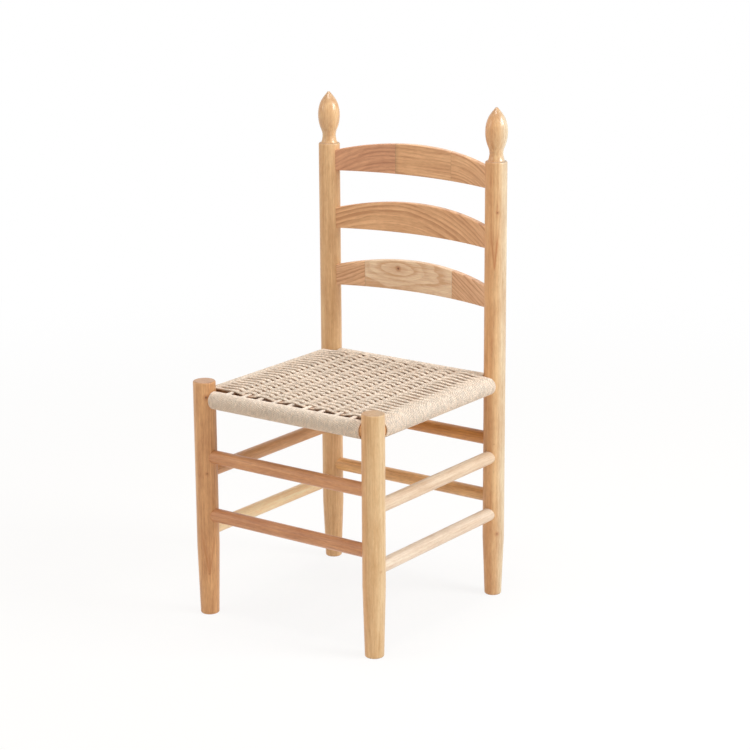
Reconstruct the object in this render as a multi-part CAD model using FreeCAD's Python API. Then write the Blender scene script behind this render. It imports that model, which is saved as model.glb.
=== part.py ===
import FreeCAD, Part
import math
import os

# Ladderback chair with a woven cord seat.
# Millimetres, +Z up, the front faces -Y, left is -X. The origin is on the floor,
# under the middle of the chair's outer box.

V = FreeCAD.Vector

# Plan and heights
leg_span = 389.0            # between leg axes, across the chair
leg_depth = 396.0           # between leg axes, front to back
front_leg_height = 460.0
chair_height = 955.0

# Front legs
front_leg_radius = 21.3
front_foot_radius = 17.8
front_taper_top = 135.0
front_foot_edge = 2.5
front_rim_round = 3.0

# Rear posts
rear_post_radius = 20.8
rear_foot_radius = 16.4
rear_ankle_radius = 17.8    # the taper is slightly hollow, this is its radius part way up
rear_ankle_height = 42.0
rear_taper_top = 116.0
rear_foot_edge = 3.0

# Turned finial on each rear post, places as height and radius
shoulder_height = 855.0
shoulder_round = 3.5
shoulder_step = 1.2
cove_middle = (861.0, 14.1)
neck = (868.5, 13.0)
finial_body = ((885.0, 17.3), (911.0, 21.3), (933.5, 16.8), (947.0, 8.3))
tip_radius = 3.6
tip_slope = 55.0            # degrees from upright to where the small round tip meets the body

# Rungs
rung_radius = 13.0
cross_rung_heights = {"lower": 199.0, "upper": 314.0}
side_rung_drop = 32.5       # side rungs sit this much lower than the front and rear ones

# Joints between round sticks and legs
housing_end = 16.0          # from the leg's axis to where the thick body of a stick stops
tenon_radius = 9.0
tenon_past_axis = 4.0
socket_spare = 1.0
mitre_gap = 0.5

# Seat rails
rail_radius = 13.2
rail_height = 425.0

# Seat cord
cord = 3.75                 # diameter
warp_count = 9
warp_pitch = 35.5
weave_rise = 3.2            # how far the side-to-side cords stand over or under a warp
crown_run = 3.0             # from the side rail's axis to where the weave leaves its crown

# Back slats
slat_thickness = 13.0
slat_end_height = 41.2
slat_bottoms = {"top": 801.9, "middle": 687.4, "bottom": 572.9}
slat_bow = 24.0             # how far the middle stands behind the ends
slat_top_arch = 21.0
slat_bottom_arch = 2.0
slat_in_post = 13.0
slat_edge_round = 2.0

# Derived places
half_span = leg_span / 2
box_depth = front_leg_radius + leg_depth + slat_bow + slat_thickness / 2
front_y = -box_depth / 2 + front_leg_radius
rear_y = front_y + leg_depth
cord_x = half_span - front_leg_radius
cord_y_front = front_y + front_leg_radius
cord_y_rear = rear_y - rear_post_radius
wrap_radius = rail_radius + cord
crown_height = rail_height + rail_radius
slat_chord = half_span - rear_post_radius
warp_places = [(i - (warp_count - 1) / 2) * warp_pitch for i in range(warp_count)]

parts = {}


def circle_arc(start, middle, end):
    return Part.Arc(start, middle, end).toShape()


def polar(radius, degrees):
    """Point in the XZ plane, degrees from +X towards +Z."""
    angle = math.radians(degrees)
    return V(radius * math.cos(angle), 0, radius * math.sin(angle))


def quarter_round(centre, radius, start_degrees):
    stops = (start_degrees, start_degrees + 45, start_degrees + 90)
    return circle_arc(*[centre + polar(radius, stop) for stop in stops])


def profile_line(r1, z1, r2, z2):
    return Part.makeLine(V(r1, 0, z1), V(r2, 0, z2))


def turned(edges, x, y):
    """Solid turned about the upright through (x, y), from edges in the XZ plane."""
    wire = Part.Wire(Part.__sortEdges__(edges))
    solid = Part.Face(wire).revolve(V(0, 0, 0), V(0, 0, 1), 360)
    solid.translate(V(x, y, 0))
    return solid


def polygon_face(corners):
    return Part.Face(Part.makePolygon(corners + [corners[0]]))


# Front legs
def front_leg(x):
    foot_flat = front_foot_radius - front_foot_edge
    rim_flat = front_leg_radius - front_rim_round
    rim_bottom = front_leg_height - front_rim_round
    edges = [
        profile_line(0, 0, foot_flat, 0),
        quarter_round(V(foot_flat, 0, front_foot_edge), front_foot_edge, -90),
        profile_line(front_foot_radius, front_foot_edge, front_leg_radius, front_taper_top),
        profile_line(front_leg_radius, front_taper_top, front_leg_radius, rim_bottom),
        quarter_round(V(rim_flat, 0, rim_bottom), front_rim_round, 0),
        profile_line(rim_flat, front_leg_height, 0, front_leg_height),
        profile_line(0, front_leg_height, 0, 0),
    ]
    return turned(edges, x, front_y)


# Rear posts
def finial_edges():
    """Outline from the post's shoulder up to the tip: cove, neck, belly and point."""
    shoulder_flat = rear_post_radius - shoulder_round
    cove_foot = shoulder_flat - shoulder_step
    tip_centre = V(0, 0, chair_height - tip_radius)
    tip_start, tip_middle, tip_end = [
        tip_centre + polar(tip_radius, 90 - slope) for slope in (tip_slope, tip_slope / 2, 0)
    ]
    body = Part.BSplineCurve()
    body.interpolate(
        Points=[V(r, 0, z) for z, r in (neck,) + finial_body] + [tip_start],
        InitialTangent=V(0, 0, 1),
        FinalTangent=polar(1, 180 - tip_slope),
    )
    return [
        profile_line(shoulder_flat, shoulder_height, cove_foot, shoulder_height),
        circle_arc(
            V(cove_foot, 0, shoulder_height),
            V(cove_middle[1], 0, cove_middle[0]),
            V(neck[1], 0, neck[0]),
        ),
        body.toShape(),
        circle_arc(tip_start, tip_middle, tip_end),
    ]


def rear_post(x):
    foot_flat = rear_foot_radius - rear_foot_edge
    shoulder_bottom = shoulder_height - shoulder_round
    shoulder_flat = rear_post_radius - shoulder_round
    edges = [
        profile_line(0, 0, foot_flat, 0),
        quarter_round(V(foot_flat, 0, rear_foot_edge), rear_foot_edge, -90),
        profile_line(rear_foot_radius, rear_foot_edge, rear_ankle_radius, rear_ankle_height),
        profile_line(rear_ankle_radius, rear_ankle_height, rear_post_radius, rear_taper_top),
        profile_line(rear_post_radius, rear_taper_top, rear_post_radius, shoulder_bottom),
        quarter_round(V(shoulder_flat, 0, shoulder_bottom), shoulder_round, 0),
        profile_line(0, chair_height, 0, 0),
    ]
    return turned(edges + finial_edges(), x, rear_y)


# Round sticks: rungs and seat rails run between two leg axes
def cylinder_between(start, end, radius):
    along = end - start
    return Part.makeCylinder(radius, along.Length, start, along)


def stick(start, end, body_radius, tenon_reach):
    """Round body with a tenon at each end; start and end lie on the leg axes."""
    way = (end - start).normalize()
    body = cylinder_between(start + way * housing_end, end - way * housing_end, body_radius)
    tenons = cylinder_between(start - way * tenon_reach, end + way * tenon_reach, tenon_radius)
    return body.fuse(tenons).removeSplitter()


def add_stick(name, start, end, body_radius, tenon_reach):
    """A stick, and the holes for it in its legs, a little deeper than its tenons."""
    parts[name] = stick(start, end, body_radius, tenon_reach)
    leg_cuts.append(stick(start, end, body_radius, tenon_reach + socket_spare))


def mitre_block(leg_x, leg_y, along_x):
    """Block that cuts a rail's tenon back to the diagonal inside a leg."""
    inward_x = -math.copysign(1, leg_x)
    inward_y = math.copysign(1, -leg_y)
    diagonal = V(inward_x, inward_y, 0).normalize()
    away = V(-inward_x, inward_y, 0).normalize() * (1 if along_x else -1)
    edge = V(leg_x, leg_y, crown_height) - away * (mitre_gap / 2)
    near = edge + diagonal * leg_radius_max
    far = edge - diagonal * leg_radius_max
    face = polygon_face([far, near, near + away * leg_radius_max, far + away * leg_radius_max])
    return face.extrude(V(0, 0, -2 * rail_radius))


# Back slats
def slat_plan_face():
    """Bowed strip seen from above, ending square to its own curve inside each post."""
    middle_radius = (slat_chord ** 2 + slat_bow ** 2) / (2 * slat_bow)
    centre = V(0, rear_y + slat_bow - middle_radius, 0)
    half_angle = math.asin((slat_chord + slat_in_post) / middle_radius)

    def on_arc(radius, angle):
        return centre + V(radius * math.sin(angle), radius * math.cos(angle), 0)

    outer = middle_radius + slat_thickness / 2
    inner = middle_radius - slat_thickness / 2
    edges = [
        circle_arc(on_arc(outer, -half_angle), on_arc(outer, 0), on_arc(outer, half_angle)),
        Part.makeLine(on_arc(outer, half_angle), on_arc(inner, half_angle)),
        circle_arc(on_arc(inner, half_angle), on_arc(inner, 0), on_arc(inner, -half_angle)),
        Part.makeLine(on_arc(inner, -half_angle), on_arc(outer, -half_angle)),
    ]
    return Part.Face(Part.Wire(edges))


def slat_edge_arc(z, arch):
    """Edge of a slat seen from the front: height z at the posts, arch higher mid-way."""
    radius = (slat_chord ** 2 + arch ** 2) / (2 * arch)
    drop = radius - math.sqrt(radius ** 2 - half_span ** 2)
    crown = z + arch
    points = ((-half_span, crown - drop), (0, crown), (half_span, crown - drop))
    return circle_arc(*[V(x, -box_depth, height) for x, height in points])


def slat_front_face(bottom):
    """Slat seen from the front: arched top and nearly straight bottom."""
    top_edge = slat_edge_arc(bottom + slat_end_height, slat_top_arch)
    bottom_edge = slat_edge_arc(bottom, slat_bottom_arch)
    ends = [
        Part.makeLine(top_edge.Vertexes[i].Point, bottom_edge.Vertexes[i].Point) for i in (0, -1)
    ]
    return Part.Face(Part.Wire(Part.__sortEdges__([top_edge, bottom_edge] + ends)))


def back_slat(bottom):
    slab = slat_plan_face().extrude(V(0, 0, 2 * slat_end_height))
    slab.translate(V(0, 0, bottom - slat_thickness))
    outline = slat_front_face(bottom).extrude(V(0, 2 * box_depth, 0))
    solid = slab.common(outline)
    long_edges = [edge for edge in solid.Edges if edge.BoundBox.XLength > slat_chord]
    return solid.makeFillet(slat_edge_round, long_edges)


# Seat cord
def racetrack_face(x, radius):
    """Loop round the front and rear rails at this distance from their axes, filled, seen along X."""
    front = V(x, front_y, rail_height)
    rear = V(x, rear_y, rail_height)
    up = V(0, 0, radius)
    out = V(0, radius, 0)
    return Part.Face(Part.Wire([
        Part.makeLine(front + up, rear + up),
        circle_arc(rear + up, rear + out, rear - up),
        Part.makeLine(rear - up, front - up),
        circle_arc(front - up, front - out, front + up),
    ]))


def warp_loop(x):
    """One pair of cords side by side, over the seat, round both rails and back underneath."""
    start = x - cord
    band = racetrack_face(start, wrap_radius).cut(racetrack_face(start, rail_radius))
    return band.extrude(V(2 * cord, 0, 0))


def weft_sheet(warps):
    """Woven sheet: one cord thick between warps, swelling straight-sided over and under them."""
    outline = [(-half_span, 0), (crown_run - half_span, 0)]
    for x in warp_places:
        outline += [(x - cord, weave_rise), (x + cord, weave_rise), (x + warp_pitch / 2, 0)]
    outline[-1] = (half_span - crown_run, 0)
    outline += [(half_span, 0)]
    top = [V(x, cord_y_front, crown_height + cord + rise) for x, rise in outline]
    bottom = [V(x, cord_y_front, crown_height - rise) for x, rise in reversed(outline)]
    sheet = polygon_face(top + bottom).extrude(V(0, cord_y_rear - cord_y_front, 0))
    return sheet.cut(warps)


def cord_sleeve(start, end):
    """Turns of cord round a rail from start to end, as one wall."""
    return cylinder_between(start, end, wrap_radius).cut(cylinder_between(start, end, rail_radius))


def cross_rail_cord(rail_y):
    """The spacer turns on the front or rear rail, a group between every two warps."""
    starts = [-cord_x] + [x + cord for x in warp_places]
    ends = [x - cord for x in warp_places] + [cord_x]
    return Part.makeCompound([
        cord_sleeve(V(start, rail_y, rail_height), V(end, rail_y, rail_height))
        for start, end in zip(starts, ends)
    ])


def side_rail_cord(rail_x):
    """The side-to-side cords where they go round a side rail, from its crown to its underside."""
    sleeve = cord_sleeve(V(rail_x, cord_y_front, rail_height), V(rail_x, cord_y_rear, rail_height))
    inner_x = min(rail_x, 0)
    inner_half = Part.makeBox(
        abs(rail_x), leg_depth, 2 * wrap_radius, V(inner_x, front_y, rail_height - wrap_radius)
    )
    return sleeve.cut(inner_half)


# Legs and posts, before their sockets
leg_radius_max = max(front_leg_radius, rear_post_radius)
leg_cuts = []
legs = {
    "front_leg_left": front_leg(-half_span),
    "front_leg_right": front_leg(half_span),
    "rear_post_left": rear_post(-half_span),
    "rear_post_right": rear_post(half_span),
}

# Sticks: where each runs in plan, then its rungs and its seat rail
runs = {
    "front": ((-half_span, front_y), (half_span, front_y)),
    "rear": ((-half_span, rear_y), (half_span, rear_y)),
    "left": ((-half_span, front_y), (-half_span, rear_y)),
    "right": ((half_span, front_y), (half_span, rear_y)),
}
for side, plan in runs.items():
    crosses = side in ("front", "rear")
    for level, height in cross_rung_heights.items():
        z = height if crosses else height - side_rung_drop
        start, end = [V(x, y, z) for x, y in plan]
        add_stick(f"{side}_rung_{level}", start, end, rung_radius, tenon_past_axis)
    start, end = [V(x, y, rail_height) for x, y in plan]
    add_stick(f"seat_rail_{side}", start, end, rail_radius, 0)
    mitres = [mitre_block(x, y, crosses) for x, y in plan]
    parts[f"seat_rail_{side}"] = parts[f"seat_rail_{side}"].cut(mitres)

# Back slats, each let into both posts
for place, bottom in slat_bottoms.items():
    slat = back_slat(bottom)
    parts[f"back_slat_{place}"] = slat
    leg_cuts.append(slat)

for name, leg in legs.items():
    parts[name] = leg.cut([cut for cut in leg_cuts if cut.BoundBox.intersect(leg.BoundBox)])

# Woven seat, in two layers
warp_loops = [warp_loop(x) for x in warp_places]
parts["warp_cords"] = Part.makeCompound(warp_loops)
parts["weft_cords_top"] = weft_sheet(warp_loops)
parts["weft_cords_under"] = parts["weft_cords_top"].mirror(V(0, 0, rail_height), V(0, 0, 1))
parts["front_rail_cord"] = cross_rail_cord(front_y)
parts["rear_rail_cord"] = cross_rail_cord(rear_y)
parts["left_rail_cord"] = side_rail_cord(-half_span)
parts["right_rail_cord"] = side_rail_cord(half_span)

os.makedirs("parts", exist_ok=True)
for name, shape in parts.items():
    shape.exportStep(f"parts/{name}.step")
    box = shape.BoundBox
    print(
        f"{name:18s} solids {len(shape.Solids):3d} valid {shape.isValid()} "
        f"volume {shape.Volume / 1000:8.2f} cm3 "
        f"x {box.XMin:7.1f} {box.XMax:7.1f} y {box.YMin:7.1f} {box.YMax:7.1f} "
        f"z {box.ZMin:6.1f} {box.ZMax:6.1f}"
    )
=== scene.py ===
"""Looks of a ladderback chair with a woven cord seat: its cord, wood, lacquer, camera and studio."""

import logging
import math
import random
from dataclasses import dataclass, field
from enum import Enum

import bpy
import numpy as np
from mathutils import Matrix, Vector


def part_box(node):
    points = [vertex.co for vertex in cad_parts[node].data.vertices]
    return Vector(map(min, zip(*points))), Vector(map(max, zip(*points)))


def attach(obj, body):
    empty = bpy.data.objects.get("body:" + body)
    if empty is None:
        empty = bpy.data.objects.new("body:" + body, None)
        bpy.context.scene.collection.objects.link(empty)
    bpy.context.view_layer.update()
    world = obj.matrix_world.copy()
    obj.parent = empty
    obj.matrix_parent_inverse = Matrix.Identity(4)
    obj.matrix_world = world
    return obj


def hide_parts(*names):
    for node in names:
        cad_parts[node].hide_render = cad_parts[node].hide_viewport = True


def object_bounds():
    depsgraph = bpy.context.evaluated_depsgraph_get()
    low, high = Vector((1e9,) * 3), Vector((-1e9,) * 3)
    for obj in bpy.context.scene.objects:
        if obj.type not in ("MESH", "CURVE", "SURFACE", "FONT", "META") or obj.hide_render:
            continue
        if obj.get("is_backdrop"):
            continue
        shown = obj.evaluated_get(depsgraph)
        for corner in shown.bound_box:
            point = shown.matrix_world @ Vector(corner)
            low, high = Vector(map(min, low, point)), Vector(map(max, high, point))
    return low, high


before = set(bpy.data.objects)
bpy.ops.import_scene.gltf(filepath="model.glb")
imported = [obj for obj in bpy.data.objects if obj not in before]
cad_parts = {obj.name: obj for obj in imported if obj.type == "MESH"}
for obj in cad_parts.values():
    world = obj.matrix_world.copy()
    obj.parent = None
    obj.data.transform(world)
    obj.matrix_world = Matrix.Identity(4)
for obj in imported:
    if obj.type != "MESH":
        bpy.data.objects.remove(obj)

Number = float | int
Colour = tuple[float, float, float]
Point = tuple[float, float, float]
Settings = dict[str, object]

MM = 0.001
WHITE: Colour = (1.0, 1.0, 1.0)
log = logging.getLogger("chair")


def linear(red: int, green: int, blue: int) -> Colour:
    """Turn a colour as seen on a screen into the linear values that shaders use.

    Args:
        red: Red from 0 to 255.
        green: Green from 0 to 255.
        blue: Blue from 0 to 255.

    Returns:
        The linear red, green and blue, from 0 to 1.
    """
    shares = (red / 255, green / 255, blue / 255)
    return tuple(((part + 0.055) / 1.055) ** 2.4 if part > 0.04045 else part / 12.92 for part in shares)


class Signal:
    """A shader socket that can stand in a Python expression, where each operator adds a Math node."""

    def __init__(self, nodes: "Nodes", socket: bpy.types.NodeSocket) -> None:
        """Wrap a socket.

        Args:
            nodes: The nodes that new ones join.
            socket: The output socket that carries the value.
        """
        self.nodes = nodes
        self.socket = socket

    def maths(self, operation: str, *values: "Signal | Number") -> "Signal":
        """Add one Math node.

        Args:
            operation: The Math node's operation.
            values: Its inputs, in order.

        Returns:
            The node's result.
        """
        return self.nodes.signal("ShaderNodeMath", {"operation": operation}, dict(enumerate(values)))

    def __add__(self, other: "Signal | Number") -> "Signal":
        """Add."""
        return self.maths("ADD", self, other)

    def __radd__(self, other: Number) -> "Signal":
        """Add, from the right."""
        return self.maths("ADD", other, self)

    def __sub__(self, other: "Signal | Number") -> "Signal":
        """Subtract."""
        return self.maths("SUBTRACT", self, other)

    def __rsub__(self, other: Number) -> "Signal":
        """Subtract, from the right."""
        return self.maths("SUBTRACT", other, self)

    def __mul__(self, other: "Signal | Number") -> "Signal":
        """Multiply."""
        return self.maths("MULTIPLY", self, other)

    def __rmul__(self, other: Number) -> "Signal":
        """Multiply, from the right."""
        return self.maths("MULTIPLY", other, self)

    def __truediv__(self, other: "Signal | Number") -> "Signal":
        """Divide."""
        return self.maths("DIVIDE", self, other)

    def __rtruediv__(self, other: Number) -> "Signal":
        """Divide, from the right."""
        return self.maths("DIVIDE", other, self)

    def __pow__(self, other: Number) -> "Signal":
        """Raise to a power."""
        return self.maths("POWER", self, other)

    def __gt__(self, other: Number) -> "Signal":
        """1 where the value is above the limit, else 0."""
        return self.maths("GREATER_THAN", self, other)

    def either(self, other: "Signal") -> "Signal":
        """The larger of two values, which is 1 where either mask is 1."""
        return self.maths("MAXIMUM", self, other)

    def fraction(self) -> "Signal":
        """What is left after the whole part is taken off."""
        return self.maths("FRACT", self)

    def size(self) -> "Signal":
        """The value without its sign."""
        return self.maths("ABSOLUTE", self)

    def sine(self) -> "Signal":
        """The sine of the value in radians."""
        return self.maths("SINE", self)

    def between(self, low: Number, high: Number) -> "Signal":
        """A soft step from 0 at low to 1 at high.

        Args:
            low: Where the step starts.
            high: Where the step ends.

        Returns:
            The step, from 0 to 1.
        """
        settings = {"interpolation_type": "SMOOTHSTEP"}
        inputs = {"Value": self, "From Min": low, "From Max": high}
        return self.nodes.signal("ShaderNodeMapRange", settings, inputs)


class Coordinates(Enum):
    """What a point's three numbers are read from."""

    PLACE = "Object"
    FACING = "Normal"
    ALONG_AND_ROUND = "UV"


class Mixing(Enum):
    """How two colours are put together."""

    COVER = "MIX"
    MULTIPLY = "MULTIPLY"


class Nodes:
    """The nodes of a material or of the surroundings, under construction."""

    def __init__(self, tree: bpy.types.NodeTree) -> None:
        """Work on a node tree.

        Args:
            tree: The tree.
        """
        self.tree = tree

    def node(self, kind: str, settings: Settings, inputs: dict) -> bpy.types.Node:
        """Add one node.

        Args:
            kind: The node's type.
            settings: Its properties, which are set first.
            inputs: Values or signals for its sockets, by name or number.

        Returns:
            The new node.
        """
        made = self.tree.nodes.new(kind)
        for name, value in settings.items():
            setattr(made, name, value)
        for name, value in inputs.items():
            self.feed(made.inputs[name], value)
        return made

    def feed(self, socket: bpy.types.NodeSocket, value: "Signal | Number | tuple") -> None:
        """Link a signal to a socket, or write a plain value on it.

        Args:
            socket: The input socket.
            value: What it takes.
        """
        if isinstance(value, Signal):
            self.tree.links.new(value.socket, socket)
        elif isinstance(value, tuple) and len(socket.default_value) == 4:
            socket.default_value = (*value, 1.0)
        else:
            socket.default_value = value

    def signal(self, kind: str, settings: Settings, inputs: dict, output: str | int = 0) -> Signal:
        """Add one node and take one of its outputs.

        Args:
            kind: The node's type.
            settings: Its properties.
            inputs: Its sockets' values.
            output: The output socket, by name or number.

        Returns:
            The output.
        """
        return Signal(self, self.node(kind, settings, inputs).outputs[output])

    def read(self, kind: Coordinates) -> tuple[Signal, Signal, Signal]:
        """Read a point's coordinates.

        Args:
            kind: What they are read from; a place is in metres, in the chair's own frame.

        Returns:
            The three numbers.
        """
        found = self.signal("ShaderNodeTexCoord", {}, {}, kind.value)
        split = self.node("ShaderNodeSeparateXYZ", {}, {0: found})
        return tuple(Signal(self, output) for output in split.outputs)

    def seen(self) -> Signal:
        """Tell what is seen from what only lights the chair.

        Returns:
            1 for a ray from the camera, a reflection or glass, else 0.
        """
        rays = self.node("ShaderNodeLightPath", {}, {})
        kinds = ("Is Camera Ray", "Is Glossy Ray", "Is Transmission Ray")
        camera, glossy, glass = [Signal(self, rays.outputs[kind]) for kind in kinds]
        return camera.either(glossy).either(glass)

    def vector(self, x: "Signal | Number", y: "Signal | Number", z: "Signal | Number") -> Signal:
        """Three numbers as one vector."""
        return self.signal("ShaderNodeCombineXYZ", {}, {0: x, 1: y, 2: z})

    def noise(self, at: Signal, detail: float = 2.0) -> Signal:
        """Cloudy noise about 0, with patches about one unit wide.

        Args:
            at: Where it is read.
            detail: How many finer layers it has.

        Returns:
            The noise.
        """
        inputs = {"Vector": at, "Scale": 1.0, "Detail": detail}
        return self.signal("ShaderNodeTexNoise", {}, inputs) - 0.5

    def blend(
        self,
        factor: "Signal | Number",
        first: "Signal | Colour",
        second: "Signal | Colour",
        how: Mixing = Mixing.COVER,
    ) -> Signal:
        """Mix two colours.

        Args:
            factor: How much of the second.
            first: A colour.
            second: A colour.
            how: How they are put together.

        Returns:
            The mixed colour.
        """
        settings = {"data_type": "RGBA", "blend_type": how.value}
        return self.signal("ShaderNodeMix", settings, {0: factor, 6: first, 7: second}, 2)

    def shade(self, colour: "Signal | Colour", by: Signal) -> Signal:
        """Multiply a colour by a grey, where 1 is no change."""
        return self.blend(1.0, colour, self.vector(by, by, by), Mixing.MULTIPLY)


class Shader(Nodes):
    """A node material under construction."""

    def __init__(self, name: str) -> None:
        """Start a material with a plain Principled surface.

        Args:
            name: The material's name.
        """
        self.material = bpy.data.materials.new(name)
        self.material.use_nodes = True
        super().__init__(self.material.node_tree)
        self.surface = self.tree.nodes["Principled BSDF"]
        self.result = self.tree.nodes["Material Output"]

    def finish(
        self, colour: Signal, roughness: Signal, height: Signal, depth: float
    ) -> bpy.types.Material:
        """Join colour, roughness and relief to the surface.

        Args:
            colour: The base colour.
            roughness: The roughness.
            height: The relief, from 0 to 1.
            depth: The relief's full depth in millimetres.

        Returns:
            The finished material.
        """
        inputs = {"Height": height, "Strength": 1.0, "Distance": depth * MM}
        self.feed(self.surface.inputs["Base Color"], colour)
        self.feed(self.surface.inputs["Roughness"], roughness)
        self.feed(self.surface.inputs["Normal"], self.signal("ShaderNodeBump", {}, inputs))
        return self.material


class Grain(Enum):
    """Which way the wood's fibres run, as the axes across the grain, through it and along it."""

    X = (2, 1, 0)
    Y = (2, 0, 1)
    Z = (0, 1, 2)


class Tone(Enum):
    """Shades of the one wood: the colours of its pale and of its dark growth, as seen."""

    HONEY = ((233, 194, 143), (196, 142, 92))
    MAPLE = ((234, 194, 142), (196, 140, 90))
    STRAW = ((233, 196, 146), (203, 155, 101))
    ROSY = ((228, 176, 121), (183, 124, 76))
    RUSSET = ((219, 160, 110), (170, 109, 67))
    UMBER = ((214, 155, 108), (166, 105, 66))
    AMBER = ((230, 164, 93), (176, 111, 53))
    OCHRE = ((248, 199, 138), (191, 135, 82))
    TAN = ((235, 185, 133), (194, 136, 90))
    CREAM = ((255, 238, 197), (244, 196, 140))
    PINK = ((231, 210, 183), (200, 164, 130))
    BLUSH = ((233, 216, 194), (203, 171, 142))
    CLAY = ((226, 170, 129), (175, 116, 81))
    BISCUIT = ((238, 189, 140), (194, 138, 92))
    SAND = ((242, 198, 155), (196, 141, 99))
    IVORY = ((247, 221, 188), (213, 167, 125))

    def pale(self) -> Colour:
        """The linear colour of the early growth."""
        return linear(*self.value[0])

    def dark(self) -> Colour:
        """The linear colour of the late growth."""
        return linear(*self.value[1])


class Cloud(Enum):
    """Ways in which wood varies: patches in a millimetre across and along the fibres, and strength."""

    WANDER = (0.022, 0.0028, 1.0)
    RIPPLE = (0.10, 0.022, 0.55)
    FIBRE = (0.42, 0.012, 0.9)
    THREAD = (1.5, 0.05, 1.0)
    MOTTLE = (0.05, 0.014, 1.0)
    PORE = (2.1, 0.10, 1.0)
    STREAK = (0.17, 0.006, 0.8)
    FADING = (0.03, 0.008, 1.0)
    FLECK = (0.45, 0.09, 0.7)


@dataclass(frozen=True)
class Knot:
    """A small knot, round which the growth swells over the spread, all in millimetres."""

    middle: Point
    radius: float = 2.0
    darkness: float = 0.7
    lift: float = 4.0
    spread: tuple[float, float] = (7.0, 30.0)
    halo: Colour = linear(180, 110, 60)
    core: Colour = linear(112, 62, 32)


@dataclass(frozen=True)
class Flame:
    """A reddish V in upright wood, which opens upwards from its foot.

    It faces so many degrees from the front towards the right. Lengths are in millimetres.
    """

    foot: Point
    facing: float
    height: float = 80.0
    half_width: float = 8.0
    strength: float = 0.75
    colour: Colour = linear(190, 120, 66)


@dataclass(frozen=True)
class PaintedSideLight:
    """Painted light on an upright: a painted warm shade on the side away from the side lamp, and a
    painted pale sheen on the side that faces it.

    The lit side faces so many degrees from the front towards the right. The painted shade ends about
    the edge, over the blur, and the painted sheen grows from the middle over the run, all in
    millimetres.
    """

    facing: float = 126.0
    edge: float = -4.0
    blur: tuple[float, float] = (-6.0, 3.0)
    run: float = 16.0
    # tints of the painted shade, away from the lamp, and of the painted sheen, towards it
    shaded_side: Colour = (0.98, 0.87, 0.79)
    pale: Colour = (0.91, 1.14, 1.52)


@dataclass(frozen=True)
class Board:
    """A length of one piece that is sawn from a single board.

    The pith is where the tree's middle would lie, in millimetres from the piece's own, across the
    grain and through it. From the crest on, the growth leans by the slope and falls by the bend. The
    joint is how much darker the board is right beside its glue line.
    """

    tone: Tone
    pith: tuple[float, float] = (30.0, 40.0)
    start: float = -1000.0
    slope: float = 0.0
    bend: float = 0.0
    crest: float = 0.0
    joint: float = 0.0


@dataclass(frozen=True)
class Lacquer:
    """Clear satin lacquer, rubbed to a gloss above a height in millimetres, where only finials are.

    The gloss is in the lacquer's own surface, so a piece with a finial has more shine and less coat.
    """

    roughness: float = 0.45
    unevenness: float = 0.12
    shine: float = 0.25
    coat: float = 0.70
    coat_roughness: float = 0.42
    gloss_roughness: float = 0.20
    gloss_from: float = 856.0

    def rub(self, height: Signal, thread: Signal) -> Signal:
        """How rough the lacquer is.

        Args:
            height: How high the point lies.
            thread: The fibres that print through.

        Returns:
            The roughness.
        """
        glossier = (height > self.gloss_from) * (self.gloss_roughness - self.roughness)
        return thread * self.unevenness + glossier + self.roughness


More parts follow.
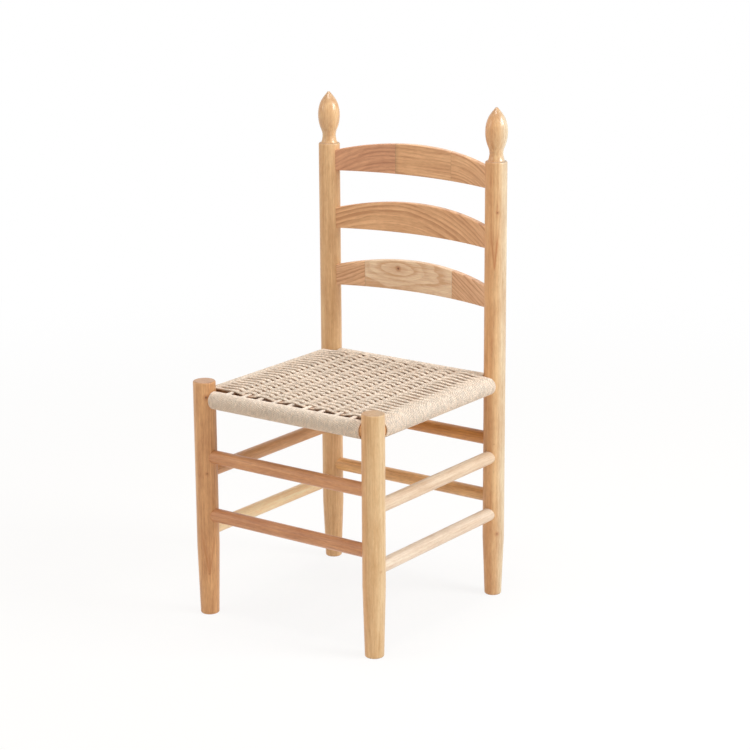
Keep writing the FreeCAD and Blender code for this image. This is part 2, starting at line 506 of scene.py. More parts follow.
@dataclass(frozen=True)
class WoodFinish:
    """Lacquered wood with growth rings, fibres, pores and knots, worked out in the solid.

    All lengths are in millimetres. The bow is how far the piece is bent for each squared millimetre
    along it, the figure how strongly its rings show, and the fading how far they fade in places.
    """

    name: str
    grain: Grain
    centre: Point
    boards: tuple[Board, ...]
    ring: float = 5.5
    wander: float = 3.2
    figure: float = 0.34
    fading: float = 0.8
    bow: float = 0.0
    seed: float = 0.0
    knots: tuple[Knot, ...] = ()
    flames: tuple[Flame, ...] = ()
    painted_side_light: PaintedSideLight | None = None
    lacquer: Lacquer = field(default_factory=Lacquer)
    base_darkness: float = 0.38
    late_start: float = 0.25
    late_peak: float = 0.88
    weakest_year: float = 0.25
    thread_shade: float = 0.22
    pore_shade: float = 0.22
    pore_roughness: float = 0.10
    end_tint: Colour = (0.64, 0.63, 0.68)
    relief: float = 0.10
    board_step: float = 41.0

    def material(self) -> bpy.types.Material:
        """Build the node material.

        Returns:
            The material.
        """
        shader = Shader(self.name)
        place = [value / MM for value in shader.read(Coordinates.PLACE)]
        across, depth, along = [place[i] - self.centre[i] for i in self.grain.value]
        out, deep = self.from_pith(across, along * along * self.bow + depth, along)
        number = self.stepped(along, list(range(len(self.boards)))) * self.board_step + self.seed
        clouds = {kind: self.cloud(shader, kind, (out, deep, along), number) for kind in Cloud}
        dark = self.darkness(shader, clouds, self.growth(place, out, deep) / self.ring)
        pores = clouds[Cloud.PORE].between(0.10, 0.22)
        light = (clouds[Cloud.THREAD] * self.thread_shade + 1.0) * (1 - pores * self.pore_shade)
        colour = shader.shade(shader.blend(dark, *self.tones(shader, along)), light)
        colour = self.glue_lines(shader, along, self.end_grain(shader, colour))
        # painted warm shade on the side away from the side lamp, painted pale sheen on the side facing
        # it
        if self.painted_side_light:
            colour = self.with_painted_side_light(shader, place, colour)
        for flame in self.flames:
            colour = self.with_flame(shader, place, colour, flame)
        for knot in self.knots:
            colour = self.with_knot(shader, place, colour, knot)
        shader.surface.inputs["Specular IOR Level"].default_value = self.lacquer.shine
        shader.surface.inputs["Coat Weight"].default_value = self.lacquer.coat
        shader.surface.inputs["Coat Roughness"].default_value = self.lacquer.coat_roughness
        rough = self.lacquer.rub(place[2], clouds[Cloud.THREAD]) + pores * self.pore_roughness
        return shader.finish(colour, rough, clouds[Cloud.THREAD] * 0.5 - pores, self.relief)

    def cloud(
        self, shader: Shader, kind: Cloud, lie: tuple[Signal, ...], number: Signal | float
    ) -> Signal:
        """Noise about 0 that is drawn out along the fibres.

        Args:
            shader: The material.
            kind: What varies.
            lie: The place across and through the grain, from the pith, and along it.
            number: The board's own place in the noise.

        Returns:
            The noise.
        """
        width, length, strength = kind.value
        out, deep, along = lie
        layer = list(Cloud).index(kind) * 3.0
        at = shader.vector(out * width + number, deep * width + layer, along * length)
        return shader.noise(at) * strength

    def darkness(self, shader: Shader, clouds: dict[Cloud, Signal], turns: Signal) -> Signal:
        """How far the colour goes from the pale to the dark growth.

        Args:
            shader: The material.
            clouds: The ways in which the wood varies.
            turns: How many rings lie within the point, if they were all true circles.

        Returns:
            The darkness, about 0 to 1.
        """
        turns = clouds[Cloud.WANDER] * self.wander + clouds[Cloud.RIPPLE] + turns
        shown = clouds[Cloud.FADING].between(-0.22, 0.18) * self.fading + (1 - self.fading)
        dark = self.late_growth(shader, turns) * shown * self.figure + self.base_darkness
        for kind in (Cloud.FIBRE, Cloud.STREAK, Cloud.FLECK, Cloud.MOTTLE):
            dark = dark + clouds[kind]
        return dark

    def stepped(self, along: Signal, values: list[float]) -> Signal | float:
        """A value that is its own for each board.

        Args:
            along: The place along the piece.
            values: One for each board, in order.

        Returns:
            The value of the board that the place is in.
        """
        result = values[0]
        for board, value, last in zip(self.boards[1:], values[1:], values):
            if value != last:
                result = (along > board.start) * (value - last) + result
        return result

    def tones(self, shader: Shader, along: Signal) -> tuple[Signal | Colour, Signal | Colour]:
        """The pale and the dark colour of each board.

        Args:
            shader: The material.
            along: The place along the piece.

        Returns:
            The two colours.
        """
        pale, dark = self.boards[0].tone.pale(), self.boards[0].tone.dark()
        for board in self.boards[1:]:
            reached = along > board.start
            pale = shader.blend(reached, pale, board.tone.pale())
            dark = shader.blend(reached, dark, board.tone.dark())
        return pale, dark

    def from_pith(self, across: Signal, depth: Signal, along: Signal) -> tuple[Signal, Signal]:
        """Where a point lies as seen from the pith, along fibres that may lean or bend.

        Args:
            across: Its place across the grain.
            depth: Its place through the grain.
            along: Its place along the grain.

        Returns:
            Its place across and through the grain.
        """
        run = along - self.stepped(along, [board.crest for board in self.boards])
        slope = self.stepped(along, [board.slope for board in self.boards])
        bend = self.stepped(along, [board.bend for board in self.boards])
        out = across - self.stepped(along, [board.pith[0] for board in self.boards])
        deep = depth - self.stepped(along, [board.pith[1] for board in self.boards])
        return run * run * bend + out - run * slope, deep

    def growth(self, place: list[Signal], out: Signal, deep: Signal) -> Signal:
        """How far out in the tree a point has grown.

        Args:
            place: The point on the object.
            out: Its place across the grain, from the pith.
            deep: Its place through the grain, from the pith.

        Returns:
            The distance from the pith, swollen round knots.
        """
        grown = (out * out + deep * deep) ** 0.5
        for knot in self.knots:
            grown = grown + knot.lift / (self.knot_reach(place, knot) + 1.0)
        return grown

    def knot_reach(self, place: list[Signal], knot: Knot) -> Signal:
        """How far a point is from a knot, squared, in the lengths over which it bends the grain.

        Args:
            place: The point on the object.
            knot: The knot.

        Returns:
            The squared distance.
        """
        gaps = [place[i] - knot.middle[i] for i in self.grain.value]
        reaches = (knot.spread[0], knot.spread[0], knot.spread[1])
        parts = [(gap / reach) ** 2 for gap, reach in zip(gaps, reaches)]
        return parts[0] + parts[1] + parts[2]

    def late_growth(self, shader: Shader, turns: Signal) -> Signal:
        """The dark end of each ring, stronger in some years than in others.

        Args:
            shader: The material.
            turns: How many rings lie within the point.

        Returns:
            0 in early growth, up to 1 in late growth.
        """
        phase = turns.fraction()
        settings = {"noise_dimensions": "1D"}
        year = shader.signal("ShaderNodeTexWhiteNoise", settings, {"W": turns - phase})
        strength = year * (1 - self.weakest_year) + self.weakest_year
        growing = phase.between(self.late_start, self.late_peak)
        return growing * (1 - phase.between(self.late_peak, 1.0)) * strength

    def end_grain(self, shader: Shader, colour: Signal) -> Signal:
        """Darken the faces that are cut across the fibres.

        Args:
            shader: The material.
            colour: The colour so far.

        Returns:
            The colour with its end grain.
        """
        along_grain = shader.read(Coordinates.FACING)[self.grain.value[2]]
        end = along_grain.size().between(0.2, 0.95)
        return shader.blend(end, colour, self.end_tint, Mixing.MULTIPLY)

    def glue_lines(self, shader: Shader, along: Signal, colour: Signal) -> Signal:
        """Darken the hairline where two boards meet, and the wood just beyond it.

        Args:
            shader: The material.
            along: The place along the piece.
            colour: The colour so far.

        Returns:
            The colour with its glue lines.
        """
        for board in self.boards[1:]:
            past = along - board.start
            hairline = (1 - past.size().between(0.15, 0.6)) * 0.3
            stain = (past > 0) * (1 - past.between(0.0, 10.0)) * board.joint
            colour = shader.shade(colour, 1 - (hairline + stain))
        return colour

    def with_painted_side_light(self, shader: Shader, place: list[Signal], colour: Signal) -> Signal:
        """Paint warm shade on the side away from the side lamp, and a pale sheen on the side facing it.

        Args:
            shader: The material.
            place: The point on the object.
            colour: The colour so far.

        Returns:
            The colour with both.
        """
        side_light = self.painted_side_light
        turn = math.radians(side_light.facing)
        x, y = [place[i] - self.centre[i] for i in (0, 1)]
        out = x * math.sin(turn) - y * math.cos(turn)
        shaded_side = 1 - out.between(side_light.edge + side_light.blur[0], side_light.edge + side_light.blur[1])
        colour = shader.blend(shaded_side, colour, side_light.shaded_side, Mixing.MULTIPLY)
        return shader.blend(out.between(0.0, side_light.run), colour, side_light.pale, Mixing.MULTIPLY)

    def with_flame(self, shader: Shader, place: list[Signal], colour: Signal, flame: Flame) -> Signal:
        """Colour one flame in the grain.

        Args:
            shader: The material.
            place: The point on the object.
            colour: The colour so far.
            flame: The flame.

        Returns:
            The colour with the flame.
        """
        x, y, z = [value - foot for value, foot in zip(place, flame.foot)]
        turn = math.radians(flame.facing)
        across = (x * math.cos(turn) + y * math.sin(turn)).size()
        depth = y * math.cos(turn) - x * math.sin(turn)
        rise = z / flame.height
        edge = across - rise * flame.half_width
        line = (1 - edge.size().between(0.3, 2.4)) * 0.7
        fill = (1 - edge.between(-1.0, 1.0)) * 0.3
        tall = rise.between(-0.05, 0.08) * (1 - rise.between(0.5, 1.1))
        near = 1 - depth.between(4.0, 9.0)
        return shader.blend((line + fill) * tall * near * flame.strength, colour, flame.colour)

    def with_knot(self, shader: Shader, place: list[Signal], colour: Signal, knot: Knot) -> Signal:
        """Colour one knot and the wood round it.

        Args:
            shader: The material.
            place: The point on the object.
            colour: The colour so far.
            knot: The knot.

        Returns:
            The colour with the knot.
        """
        squares = [(value - middle) ** 2 for value, middle in zip(place, knot.middle)]
        away = (squares[0] + squares[1] + squares[2]) ** 0.5
        halo = 1 - away.between(knot.radius * 0.8, knot.radius * 3)
        core = 1 - away.between(knot.radius * 0.4, knot.radius)
        colour = shader.blend(halo * (0.7 * knot.darkness), colour, knot.halo)
        return shader.blend(core * knot.darkness, colour, knot.core)


@dataclass(frozen=True)
class PaintedShade:
    """Painted shade: a tint that darkens the cord between two depths below the middle of its layer, in
    millimetres.
    """

    tint: Colour
    start: float
    end: float


@dataclass(frozen=True)
class CordFinish:
    """Twisted paper cord, with plies, fibres and small changes of shade.

    The lay is the length of a full twist, and the relief the depth between plies, in millimetres. Shade
    is painted in the ply grooves, in the gaps of the weave and in the hollow between the seat's two
    layers.
    """

    name: str = "paper_cord"
    light: Colour = linear(240, 227, 211)
    dark: Colour = linear(224, 204, 184)
    # painted shade: warm in the gaps between the rows, near black in the hollow between the two layers
    painted_shades: tuple[PaintedShade, ...] = (
        PaintedShade((1.0, 0.84, 0.75), -2.0, 3.0),
        PaintedShade((0.13, 0.06, 0.035), 2.5, 8.0),
    )
    plies: int = 3
    lay: float = 11.0
    groove_shade: float = 0.42
    roughness: float = 0.82
    relief: float = 0.8

    def material(self, seat: "WovenSeat") -> bpy.types.Material:
        """Build the node material from the cord's own map: metres along it, and turns round it.

        Args:
            seat: The seat, for the place of the hollow between its two layers, where shade is painted.

        Returns:
            The material.
        """
        shader = Shader(self.name)
        along, turn, _ = shader.read(Coordinates.ALONG_AND_ROUND)
        x, y, z = shader.read(Coordinates.PLACE)
        ply = turn * self.plies + along * (self.plies / (self.lay * MM))
        groove = (ply * math.pi).sine().size()
        paper = shader.noise(shader.vector(ply * 3.0, along * 160.0, 0.0))
        patch = shader.noise(shader.vector(along * 26.0, turn * 0.4, 3.0), detail=1.0)
        fleck = shader.noise(shader.vector(along * 150.0, turn * 1.5, 7.0), detail=1.0)
        broad = shader.noise(shader.vector(x * 14.0, y * 14.0, z * 14.0), detail=1.0)
        colour = shader.blend(patch * 1.3 + fleck * 0.9 + 0.5, self.light, self.dark)
        # painted shade in the grooves between the plies, on top of their relief
        light = groove.between(0.0, 0.6) * self.groove_shade + (1.04 - self.groove_shade)
        light = light * (paper * 0.4 + 1.0) * (broad * 0.12 + 1.0) * (fleck * 0.95 + 1.0)
        colour = shader.shade(colour, light)
        below, within = self.hollow(seat, [value / MM for value in (x, y, z)])
        # paint shade by depth in the gaps of the weave and in the hollow inside the rails
        for shade_band in self.painted_shades:
            shaded = below.between(shade_band.start, shade_band.end) * within
            colour = shader.blend(shaded, colour, shade_band.tint, Mixing.MULTIPLY)
        rough = paper * 0.2 + self.roughness
        return shader.finish(colour, rough, groove * 0.8 + paper * 0.2, self.relief)

    def hollow(self, seat: "WovenSeat", place: list[Signal]) -> tuple[Signal, Signal]:
        """How deep a point lies in the gaps of the weave and between the seat's two layers.

        Args:
            seat: The seat.
            place: The point on the object.

        Returns:
            Its depth below the middle of its layer in millimetres, and 1 where it is inside the rails.
        """
        x, y, z = place
        middle = (seat.low_y + seat.high_y) / 2
        inside_ends = seat.high_y - middle + 12.0
        below = seat.turn - (z - seat.mid_z).size()
        across = (seat.side_x - x.size()).between(-2.0, 8.0)
        along = (inside_ends - (y - middle).size()).between(0.0, 6.0)
        return below, across * along


@dataclass
class CordMesh:
    """Gathers round cords into one mesh, each with a map of metres along it and turns round it."""

    radius: float
    sides: int = 8
    vertices: list[np.ndarray] = field(default_factory=list)
    faces: list[tuple[int, ...]] = field(default_factory=list)
    corners: list[tuple[float, float]] = field(default_factory=list)
    count: int = 0

    def add(self, path: np.ndarray, flat: Vector, closed: bool, start: float) -> None:
        """Add one cord.

        Args:
            path: The points of its middle line, in millimetres.
            flat: The direction that its path turns about.
            closed: Whether its end joins its start.
            start: Where its map starts, in metres.
        """
        rows = len(path)
        before = np.roll(path, 1, axis=0)
        after = np.roll(path, -1, axis=0)
        if not closed:
            before[0] = path[0]
            after[-1] = path[-1]
        run = after - before
        run /= np.linalg.norm(run, axis=1)[:, None]
        side = np.cross(run, np.array(flat))
        side /= np.linalg.norm(side, axis=1)[:, None]
        up = np.cross(side, run)
        angles = np.arange(self.sides) * (2 * math.pi / self.sides)
        rings = (
            path[:, None, :]
            + self.radius * np.cos(angles)[None, :, None] * side[:, None, :]
            + self.radius * np.sin(angles)[None, :, None] * up[:, None, :]
        )
        self.vertices.append(rings.reshape(-1, 3) * MM)
        steps = np.linalg.norm(np.diff(np.vstack([path, path[:1]]), axis=0), axis=1) * MM
        lengths = start + np.concatenate([[0.0], np.cumsum(steps)])
        for row in range(rows if closed else rows - 1):
            self.add_band(row, (row + 1) % rows, lengths[row], lengths[row + 1])
        if not closed:
            self.add_cap(0, lengths[0], False)
            self.add_cap(rows - 1, lengths[rows - 1], True)
        self.count += rows * self.sides

    def add_band(self, low: int, high: int, low_length: float, high_length: float) -> None:
        """Add the faces between two rings.

        Args:
            low: The first ring's number.
            high: The second ring's number.
            low_length: The map's length at the first ring.
            high_length: The map's length at the second ring.
        """
        for side in range(self.sides):
            other = (side + 1) % self.sides
            first, second = self.count + low * self.sides, self.count + high * self.sides
            self.faces.append((first + side, second + side, second + other, first + other))
            near, far = side / self.sides, (side + 1) / self.sides
            self.corners += [(low_length, near), (high_length, near)]
            self.corners += [(high_length, far), (low_length, far)]

    def add_cap(self, row: int, length: float, forward: bool) -> None:
        """Close a cord's end.

        Args:
            row: The last ring's number.
            length: The map's length there.
            forward: Whether the end faces the way the cord runs.
        """
        ring = [self.count + row * self.sides + side for side in range(self.sides)]
        self.faces.append(tuple(reversed(ring)) if forward else tuple(ring))
        self.corners += [(length, side / self.sides) for side in range(self.sides)]

    def build(self, name: str, material: bpy.types.Material) -> bpy.types.Object:
        """Make the object.

        Args:
            name: The piece's name.
            material: Its material.

        Returns:
            The new object.
        """
        mesh = bpy.data.meshes.new(name)
        mesh.from_pydata(np.concatenate(self.vertices).tolist(), [], self.faces)
        layer = mesh.uv_layers.new(name="cord")
        layer.data.foreach_set("uv", np.array(self.corners, np.float32).ravel())
        mesh.polygons.foreach_set("use_smooth", [True] * len(mesh.polygons))
        mesh.materials.append(material)
        mesh.update()
        made = bpy.data.objects.new(name, mesh)
        bpy.context.scene.collection.objects.link(made)
        return made


def node_box(node: str) -> tuple[np.ndarray, np.ndarray]:
    """Lowest and highest corner of a node, in millimetres."""
    low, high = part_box(node)
    return np.array(low) / MM, np.array(high) / MM


@dataclass
class WovenSeat:
    """The cord seat: warps from front to back, wefts from side to side, both carried round underneath.

    All lengths are in millimetres. A plump cord is a little thicker than the space it has, so that
    neighbours touch. The reaches are how far the outer rows are drawn out to the rails.
    """

    cord: float = 3.75
    plump: float = 1.01
    rail_plump: float = 1.02
    warps: int = 9
    warp_pitch: float = 35.5
    rows: int = 46
    rise: float = 3.2
    warp_give: float = 0.5
    edge_dip: float = 0.5
    dip_place: float = 17.0
    front_reach: float = 2.0
    front_reach_under: float = 4.5
    rear_reach: float = 8.0
    reach_run: float = 45.0
    unevenness: float = 0.1
    sway: float = 0.22
    sway_length: float = 31.0
    spacer_turns: int = 7
    points_per_turn: int = 20
    half_turn_steps: int = 14
    steps_by_warp: tuple[float, ...] = (-6.5, -4.0, -2.0, 0.0, 2.0, 4.0, 6.5)
    steps_by_rail: tuple[float, ...] = (0.0, 5.0, 11.0, 19.0, 30.0)
    dice: random.Random = field(default_factory=lambda: random.Random(7))

    def __post_init__(self) -> None:
        """Read the places of the rails and of the sheets between them from the frame."""
        front_low, front_high = node_box("front_rail_cord")
        rear_low, rear_high = node_box("rear_rail_cord")
        side_low, side_high = node_box("right_rail_cord")
        self.front_y = (front_low[1] + front_high[1]) / 2
        self.rear_y = (rear_low[1] + rear_high[1]) / 2
        self.mid_z = (front_low[2] + front_high[2]) / 2
        self.turn = (front_high[2] - front_low[2]) / 2 - self.cord / 2
        self.crown = self.mid_z + self.turn
        self.side_x = side_low[0]
        self.end_x = front_high[0]
        self.low_y, self.high_y = side_low[1], side_high[1]
        self.row_pitch = (self.high_y - self.low_y) / self.rows
        self.warp_x = [(i - (self.warps - 1) / 2) * self.warp_pitch for i in range(self.warps)]

    def start(self) -> float:
        """A chance place for a cord's map to start, in metres."""
        return self.dice.uniform(0.0, 5.0)

    def over(self, warp: int, row: int) -> int:
        """1 where a row goes over a warp, -1 where it goes under."""
        return 1 if (warp + row) % 2 == 0 else -1

    def arc(self, centre: tuple[float, float], out: int, top_first: bool) -> list[tuple[float, float]]:
        """Half a turn round a rail.

        Args:
            centre: The rail's axis, as its place along the cord's run and its height.
            out: 1 or -1, the way out from the seat.
            top_first: Whether the turn starts at the rail's crown.

        Returns:
            Points along the half turn, without its first and last.
        """
        steps = self.half_turn_steps
        angles = [math.pi * (0.5 - step / steps) for step in range(1, steps)]
        if not top_first:
            angles.reverse()
        return [
            (centre[0] + out * self.turn * math.cos(angle), centre[1] + self.turn * math.sin(angle))
            for angle in angles
        ]

    def weft_stations(self) -> list[float]:
        """Where a weft has its points: close together at each warp, and one half-way between warps.

        Returns:
            The places across the seat, from left to right.
        """
        places = [step - self.side_x for step in self.steps_by_rail]
        for x in self.warp_x:
            places += [x + step for step in self.steps_by_warp] + [x + self.warp_pitch / 2]
        places.pop()
        return places + [self.side_x - step for step in reversed(self.steps_by_rail)]

    def weft_height(self, x: float, row: int) -> float:
        """How far a weft stands above the middle of the weave.

        Args:
            x: The place across the seat.
            row: The weft pair's number from the front.

        Returns:
            The height in millimetres.
        """
        edge, flat, level_by_rail = self.side_x, 2.5, 3.0
        bends = [(-edge, 0.0), (level_by_rail - edge, 0.0)]
        if self.over(0, row) < 0:
            bends.append((self.dip_place - edge, -self.edge_dip * self.rise))
        for i, place in enumerate(self.warp_x):
            level = self.over(i, row) * self.rise
            bends += [(place - flat, level), (place + flat, level)]
        if self.over(self.warps - 1, row) < 0:
            bends.append((edge - self.dip_place, 0.0))
        bends += [(edge - level_by_rail, 0.0), (edge, 0.0)]
        places, levels = zip(*bends)
        rounding = (-2.0, -1.0, 0.0, 1.0, 2.0)
        return sum(np.interp(x + step, places, levels) for step in rounding) / len(rounding)

    def spread(self, row: int, front_reach: float) -> float:
        """How far a row is drawn out to the front or rear rail where it is free of the legs.

        Args:
            row: The weft pair's number from the front.
            front_reach: How far the first row is drawn out.

        Returns:
            The shift in millimetres, at most as much as the reach.
        """
        share = (2 * row + 1) / self.rows - 1
        return share * (self.rear_reach if share > 0 else front_reach)

    def freedom(self, x: float) -> float:
        """How much of its shift a row has at a place across the seat: none at the side rails."""
        share = min(1.0, max(0.0, (self.side_x - abs(x)) / self.reach_run))
        return share * share * (3 - 2 * share)

    def wefts(self, material: bpy.types.Material) -> bpy.types.Object:
        """Make the side-to-side cords, each pair a closed run over the seat and back underneath.

        Args:
            material: The cord's material.

        Returns:
            The new object.
        """
        mesh = CordMesh(self.cord / 2 * self.plump)
        for row in range(self.rows):
            middle = self.low_y + (row + 0.5) * self.row_pitch
            for side in (-1, 1):
                path = self.weft_path(row, middle + side * self.row_pitch / 4)
                mesh.add(np.array(path), Vector((0, 1, 0)), True, self.start())
        return mesh.build("seat_wefts", material)

    def weft_path(self, row: int, y: float) -> list[Point]:
        """One weft's closed run over the seat and back underneath.

        Args:
            row: The weft pair's number from the front.
            y: The cord's place at the side rails.

        Returns:
            The points of the cord's middle line.
        """
        phase = self.dice.uniform(0, 2 * math.pi)
        over = []
        for x in self.weft_stations():
            bump = self.dice.uniform(-self.unevenness, self.unevenness)
            over.append((x, self.crown + self.weft_height(x, row) + bump))
        under = [(x, 2 * self.mid_z - z) for x, z in reversed(over)]
        outline = over + self.arc((self.side_x, self.mid_z), 1, True)
        outline += under + self.arc((-self.side_x, self.mid_z), -1, False)
        path = []
        for x, z in outline:
            front_reach = self.front_reach if z > self.mid_z else self.front_reach_under
            shift = self.spread(row, front_reach) * self.freedom(x)
            path.append((x, y + shift + self.sway * math.sin(x / self.sway_length + phase), z))
        return path

    def warp_height(self, warp: int, y: float) -> float:
        """How far a warp gives way to the rows that pass over and under it.

        Args:
            warp: The warp pair's number from the left.
            y: The place along it.

        Returns:
            The height above the middle of the weave, in millimetres.
        """
        row = (y - self.low_y) / self.row_pitch - 0.5
        if not -0.5 < row < self.rows - 0.5:
            return 0.0
        return -self.warp_give * self.over(warp, 0) * math.cos(math.pi * row)

    def warp_pairs(self, material: bpy.types.Material) -> bpy.types.Object:
        """Make the front-to-back cords, each pair a closed run over the seat and back underneath.

        Args:
            material: The cord's material.

        Returns:
            The new object.
        """
        mesh = CordMesh(self.cord / 2 * self.plump)
        steps = self.rows * 2 + 12
        stations = [self.front_y + (self.rear_y - self.front_y) * i / steps for i in range(steps + 1)]
        for warp, place in enumerate(self.warp_x):
            for side in (-1, 1):
                x = place + side * self.cord / 2
                over = [(y, self.crown + self.warp_height(warp, y)) for y in stations]
                under = [(y, 2 * self.mid_z - z) for y, z in reversed(over)]
                outline = over + self.arc((self.rear_y, self.mid_z), 1, True)
                outline += under + self.arc((self.front_y, self.mid_z), -1, False)
                path = [(x, y, z) for y, z in outline]
                mesh.add(np.array(path), Vector((1, 0, 0)), True, self.start())
        return mesh.build("seat_warps", material)

    def spacer_path(self, rail_y: float, inward: int) -> list[Point]:
        """One unbroken run of turns along a rail, in a group between every two warps.

        Args:
            rail_y: The rail's axis.
            inward: 1 or -1, the way from the rail to the middle of the seat.

        Returns:
            The points of the cord's middle line.
        """
        starts = [-self.end_x] + [x + self.cord for x in self.warp_x]
        ends = [x - self.cord for x in self.warp_x] + [self.end_x]
        steps = self.spacer_turns * self.points_per_turn
        path = []
        for start, end in zip(starts, ends):
            for step in range(steps + 1):
                angle = 2 * math.pi * step / self.points_per_turn
                x = start + (end - start) * step / steps
                y = rail_y + inward * self.turn * math.cos(angle)
                path.append((x, y, self.mid_z + self.turn * math.sin(angle)))
        path[0] = (path[0][0] + self.cord / 2, *path[0][1:])
        path[-1] = (path[-1][0] - self.cord / 2, *path[-1][1:])
        return path

    def spacers(
        self, name: str, rail_y: float, inward: int, material: bpy.types.Material
    ) -> bpy.types.Object:
        """Make the turns of cord on the front or rear rail.

        Args:
            name: The piece's name.
            rail_y: The rail's axis.
            inward: 1 or -1, the way from the rail to the middle of the seat.
            material: The cord's material.

        Returns:
            The new object.
        """
        mesh = CordMesh(self.cord / 2 * self.rail_plump)
        path = np.array(self.spacer_path(rail_y, inward))
        mesh.add(path, Vector((1, 0, 0)), False, self.start())
        return mesh.build(name, material)

    def build(self, finish: CordFinish) -> list[bpy.types.Object]:
        """Make the whole seat.

        Args:
            finish: The cord's finish.

        Returns:
            Its pieces.
        """
        material = finish.material(self)
        side_to_side = ("weft_cords_top", "weft_cords_under", "left_rail_cord", "right_rail_cord")
        replaced = {
            self.wefts(material): side_to_side,
            self.warp_pairs(material): ("warp_cords",),
            self.spacers("front_rail_turns", self.front_y, 1, material): ("front_rail_cord",),
            self.spacers("rear_rail_turns", self.rear_y, -1, material): ("rear_rail_cord",),
        }
        for piece, nodes in replaced.items():
            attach(piece, "root")
            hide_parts(*nodes)
            faces = len(piece.data.polygons)
            log.info("%s: %d faces, stands for %s", piece.name, faces, ", ".join(nodes))
        return list(replaced)


@dataclass
class WoodenFrame:
    """Legs, posts, rungs, rails and slats, which keep their shapes and get their wood.

    A slat is bowed by its depth between its middle and its ends, in millimetres.
    """

    slat_depth: float = 24.0
    slat_half_length: float = 173.0
    satin_and_gloss: Lacquer = Lacquer(shine=0.6, coat=0.1)

    def legs(self) -> dict[str, Settings]:
        """The wood of the upright pieces.

        Returns:
            The settings of each piece's finish, by node.
        """
        return {
            "front_leg_left": {
                "boards": (Board(Tone.ROSY, (34.0, 46.0)),),
                "knots": (
                    Knot((-178.5, -217.4, 432.5), 3.0, 0.8, 5.0, (6.0, 26.0)),
                    Knot((-180.0, -218.4, 283.6), 2.0, 0.6, 4.0, (5.0, 24.0)),
                    Knot((-181.3, -217.9, 83.7), 1.2, 0.4, 3.0, (4.0, 24.0)),
                ),
                "flames": (Flame((-180.7, -217.5, 80.4), 40.0, 98.0, 15.0, 0.6),),
            },
            "front_leg_right": {
                "boards": (Board(Tone.STRAW, (-60.0, 70.0)),),
                "knots": (Knot((214.4, -208.8, 168.0), 1.5, 0.3, 3.0, (5.0, 26.0)),),
                "figure": 0.4,
                # painted shade and sheen on the sides away from and towards the side lamp
                "painted_side_light": PaintedSideLight(edge=-12.0, pale=(0.93, 1.0, 1.09)),
            },
            "rear_post_left": {
                "boards": (Board(Tone.HONEY, (-42.0, 30.0)),),
                "lacquer": self.satin_and_gloss,
            },
            "rear_post_right": {
                "boards": (Board(Tone.MAPLE, (-8.0, 52.0)),),
                "knots": (
                    Knot((208.6, 177.6, 760.3), 1.8, 0.75, 9.0, (7.0, 62.0)),
                    Knot((210.3, 181.5, 128.2), 2.2, 0.7, 7.0, (7.0, 22.0)),
                    Knot((206.0, 175.6, 309.9), 0.9, 0.5, 2.0, (4.0, 16.0)),
                ),
                "flames": (Flame((203.9, 174.9, 650.0), 27.0, strength=0.85),),
                # painted shade and sheen on the sides away from and towards the side lamp
                "painted_side_light": PaintedSideLight(),
                "lacquer": self.satin_and_gloss,
            },
        }

    def cross_sticks(self) -> dict[str, Settings]:
        """The wood of the round sticks that run from side to side.

        Returns:
            The settings of each piece's finish, by node.
        """
        return {
            "front_rung_upper": {"boards": (Board(Tone.RUSSET, (38.0, 46.0)),)},
            "front_rung_lower": {"boards": (Board(Tone.UMBER, (-50.0, 34.0)),)},
            "rear_rung_upper": {"boards": (Board(Tone.AMBER, (48.0, 22.0)),)},
            "rear_rung_lower": {"boards": (Board(Tone.OCHRE, (33.0, -44.0)),)},
            "seat_rail_front": {"boards": (Board(Tone.ROSY, (30.0, 42.0)),)},
            "seat_rail_rear": {"boards": (Board(Tone.ROSY, (-34.0, 52.0)),)},
        }

    def side_sticks(self) -> dict[str, Settings]:
        """The wood of the round sticks that run from front to back.

        Returns:
            The settings of each piece's finish, by node.
        """
        return {
            "left_rung_upper": {"boards": (Board(Tone.TAN, (42.0, 40.0)),)},
            "left_rung_lower": {"boards": (Board(Tone.CREAM, (50.0, -28.0)),)},
            "right_rung_upper": {"boards": (Board(Tone.PINK, (36.0, 60.0)),)},
            "right_rung_lower": {"boards": (Board(Tone.BLUSH, (-44.0, 52.0)),)},
            "seat_rail_left": {"boards": (Board(Tone.ROSY, (52.0, 31.0)),)},
            "seat_rail_right": {"boards": (Board(Tone.ROSY, (43.0, -40.0)),)},
        }

    def slats(self) -> dict[str, Settings]:
        """The wood of the slats: two are glued up from three boards each, the middle one is whole.

        Returns:
            The settings of each piece's finish, by node.
        """
        return {
            "back_slat_top": {
                "boards": (
                    Board(Tone.CLAY, (60.0, 6.0), bend=0.0024, crest=-50.0),
                    Board(Tone.BISCUIT, (-75.0, 10.0), start=-47.0, slope=-0.02, joint=0.16),
                    Board(Tone.BISCUIT, (-70.0, -12.0), start=85.0, bend=0.0036, crest=85.0),
                ),
                "ring": 7.0,
                "figure": 0.75,
            },
            "back_slat_middle": {
                "boards": (Board(Tone.BISCUIT, (-67.0, 8.0), slope=-0.03, bend=0.0015, crest=-40.0),),
                "ring": 11.0,
                "figure": 1.0,
                "fading": 0.5,
            },
            "back_slat_bottom": {
                "boards": (
                    Board(Tone.SAND, (70.0, 12.0), slope=0.27),
                    Board(Tone.IVORY, (0.0, 90.0), start=-115.0),
                    Board(Tone.SAND, (60.0, 12.0), start=88.0, slope=-0.54, crest=88.0),
                ),
                "knots": (Knot((-41.4, 210.0, 617.6), 3.0, 0.9, 30.0, (27.0, 76.0)),),
                "ring": 7.0,
                "figure": 0.75,
                "fading": 0.3,
            },
        }

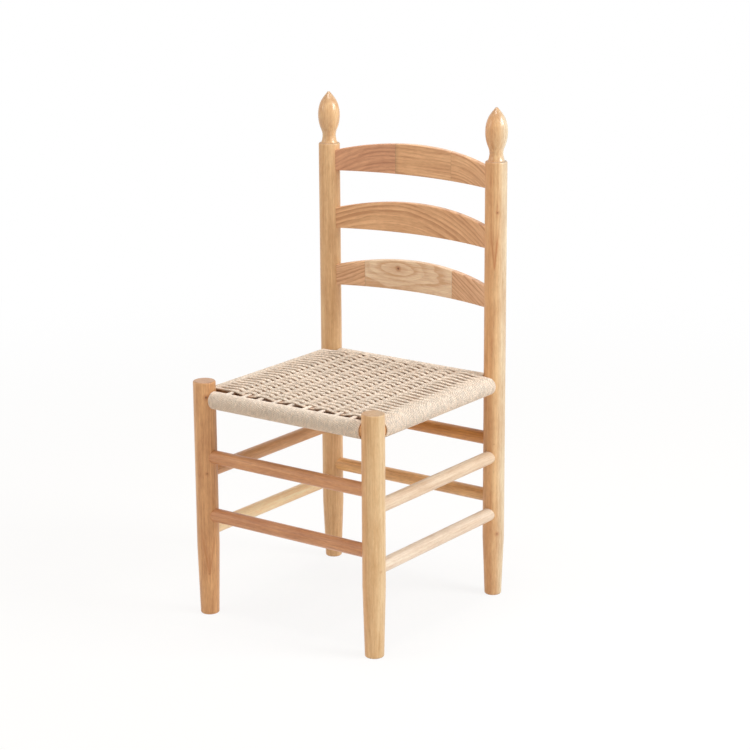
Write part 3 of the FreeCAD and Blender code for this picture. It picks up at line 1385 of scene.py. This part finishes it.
    def build(self) -> None:
        """Dress every wooden node, each as if cut from its own place in its own tree."""
        slat_bow = self.slat_depth / self.slat_half_length ** 2
        groups = (
            (self.legs(), Grain.Z, 0.0),
            (self.cross_sticks(), Grain.X, 0.0),
            (self.side_sticks(), Grain.Y, 0.0),
            (self.slats(), Grain.X, slat_bow),
        )
        for number, (group, grain, bow) in enumerate(groups):
            for place, (node, wood) in enumerate(group.items()):
                low, high = node_box(node)
                middle = tuple((low + high) / 2)
                seed = 17.0 * number + 3.7 * place
                self.dress(node, WoodFinish(node + "_wood", grain, middle, bow=bow, seed=seed, **wood))

    def dress(self, node: str, finish: WoodFinish) -> None:
        """Give a node its wood.

        Args:
            node: The node's name.
            finish: Its finish.
        """
        material = finish.material()
        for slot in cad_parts[node].material_slots:
            slot.material = material
        tones = [board.tone.name.lower() for board in finish.boards]
        log.info("%s: %s", node, " and ".join(tones))


@dataclass(frozen=True)
class SoftBox:
    """A square soft lamp, placed round the middle of the chair: degrees, metres and watts."""

    name: str
    azimuth: float
    elevation: float
    distance: float
    size: float
    power: float
    colour: Colour = WHITE

    def build(self, aim: Vector) -> None:
        """Make the lamp.

        Args:
            aim: The point that it faces.
        """
        lamp = bpy.data.lights.new(self.name, "AREA")
        lamp.size = self.size
        lamp.energy = self.power
        lamp.color = self.colour
        made = bpy.data.objects.new(self.name, lamp)
        bpy.context.scene.collection.objects.link(made)
        back = direction(self.azimuth, self.elevation)
        made.location = aim + back * self.distance
        made.rotation_euler = back.to_track_quat("Z", "Y").to_euler()


def direction(azimuth: float, elevation: float) -> Vector:
    """The direction from the object out to a viewer, 0 degrees in front and 90 on the right."""
    turn, rise = math.radians(azimuth), math.radians(elevation)
    return Vector((math.sin(turn) * math.cos(rise), -math.cos(turn) * math.cos(rise), math.sin(rise)))


@dataclass
class PhotoCamera:
    """The camera as the photograph has it: degrees, metres and pixels."""

    azimuth: float = 35.89
    elevation: float = 15.10
    roll: float = -0.35
    distance: float = 4.1855
    target: tuple[float, float, float] = (0.05577, -0.00425, 0.46454)
    focal_pixels: float = 2235.1
    frame_pixels: int = 750

    def build(self) -> None:
        """Make the camera and use it."""
        lens = bpy.data.cameras.new("camera")
        lens.lens = self.focal_pixels / self.frame_pixels * lens.sensor_width
        made = bpy.data.objects.new("camera", lens)
        bpy.context.scene.collection.objects.link(made)
        back = direction(self.azimuth, self.elevation)
        level = Vector((-back.y, back.x, 0)).normalized()
        upright = back.cross(level)
        roll = math.radians(self.roll)
        right = level * math.cos(roll) + upright * math.sin(roll)
        up = upright * math.cos(roll) - level * math.sin(roll)
        stand = Matrix((right, up, back)).transposed().to_4x4()
        stand.translation = Vector(self.target) + back * self.distance
        made.matrix_world = stand
        bpy.context.scene.camera = made


@dataclass
class Studio:
    """White floor and surroundings with soft lamps, in metres.

    The floor shows its own shade and shadows near the chair, lifted by the glow, and turns plain
    white over the fade's distances from it.
    """

    floor_size: float = 60.0
    glow: float = 0.86
    fade: tuple[float, float] = (0.7, 2.8)
    surround: float = 0.52
    surround_colour: Colour = (1.0, 0.92, 0.83)
    floor_colour: Colour = (0.90, 0.86, 0.81)
    lamps: tuple[SoftBox, ...] = (
        SoftBox("side", 106.0, 30.0, 3.2, 1.3, 67.0, (0.93, 1.0, 1.08)),
        SoftBox("top", 0.0, 85.0, 3.2, 1.3, 50.0),
        SoftBox("front_fill", -40.0, 25.0, 3.2, 1.3, 10.0),
    )

    def build(self) -> None:
        """Make the floor, the surroundings and the lamps."""
        self.build_floor()
        self.build_world()
        low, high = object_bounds()
        for lamp in self.lamps:
            lamp.build((low + high) / 2)

    def build_floor(self) -> None:
        """Make the floor: matt white, and lifted to white where the camera sees it, shadow kept."""
        half = self.floor_size / 2
        corners = [(-half, -half, 0), (half, -half, 0), (half, half, 0), (-half, half, 0)]
        mesh = bpy.data.meshes.new("floor")
        mesh.from_pydata(corners, [], [(0, 1, 2, 3)])
        shader = Shader("floor_white")
        x, y, _ = shader.read(Coordinates.PLACE)
        away = (x * x + y * y) ** 0.5
        lifted = shader.seen() * (away.between(*self.fade) * (1 - self.glow) + self.glow)
        shader.feed(shader.surface.inputs["Base Color"], self.floor_colour)
        shader.feed(shader.surface.inputs["Roughness"], 0.95)
        shader.feed(shader.surface.inputs["Specular IOR Level"], 0.0)
        bare = Signal(shader, shader.surface.outputs[0])
        white = shader.signal("ShaderNodeEmission", {}, {"Color": WHITE, "Strength": 1.0})
        mixed = shader.signal("ShaderNodeMixShader", {}, {0: lifted, 1: bare, 2: white})
        shader.feed(shader.result.inputs["Surface"], mixed)
        mesh.materials.append(shader.material)
        made = bpy.data.objects.new("floor", mesh)
        bpy.context.scene.collection.objects.link(made)
        made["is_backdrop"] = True

    def build_world(self) -> None:
        """Light from all round, and plain white where something looks past the floor."""
        world = bpy.data.worlds.new("surround")
        world.use_nodes = True
        nodes = Nodes(world.node_tree)
        light = nodes.tree.nodes["Background"]
        nodes.feed(light.inputs["Color"], self.surround_colour)
        nodes.feed(light.inputs["Strength"], self.surround)
        white = nodes.signal("ShaderNodeBackground", {}, {"Color": WHITE, "Strength": 1.0})
        inputs = {0: nodes.seen(), 1: Signal(nodes, light.outputs[0]), 2: white}
        mixed = nodes.signal("ShaderNodeMixShader", {}, inputs)
        nodes.feed(nodes.tree.nodes["World Output"].inputs["Surface"], mixed)
        bpy.context.scene.world = world


def main() -> None:
    """Dress the chair and set up its studio."""
    logging.basicConfig(level=logging.INFO, format="%(message)s")
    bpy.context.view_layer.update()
    bpy.context.scene.view_settings.view_transform = "Standard"
    WoodenFrame().build()
    WovenSeat().build(CordFinish())
    Studio().build()
    PhotoCamera().build()


if __name__ == "__main__":
    main()
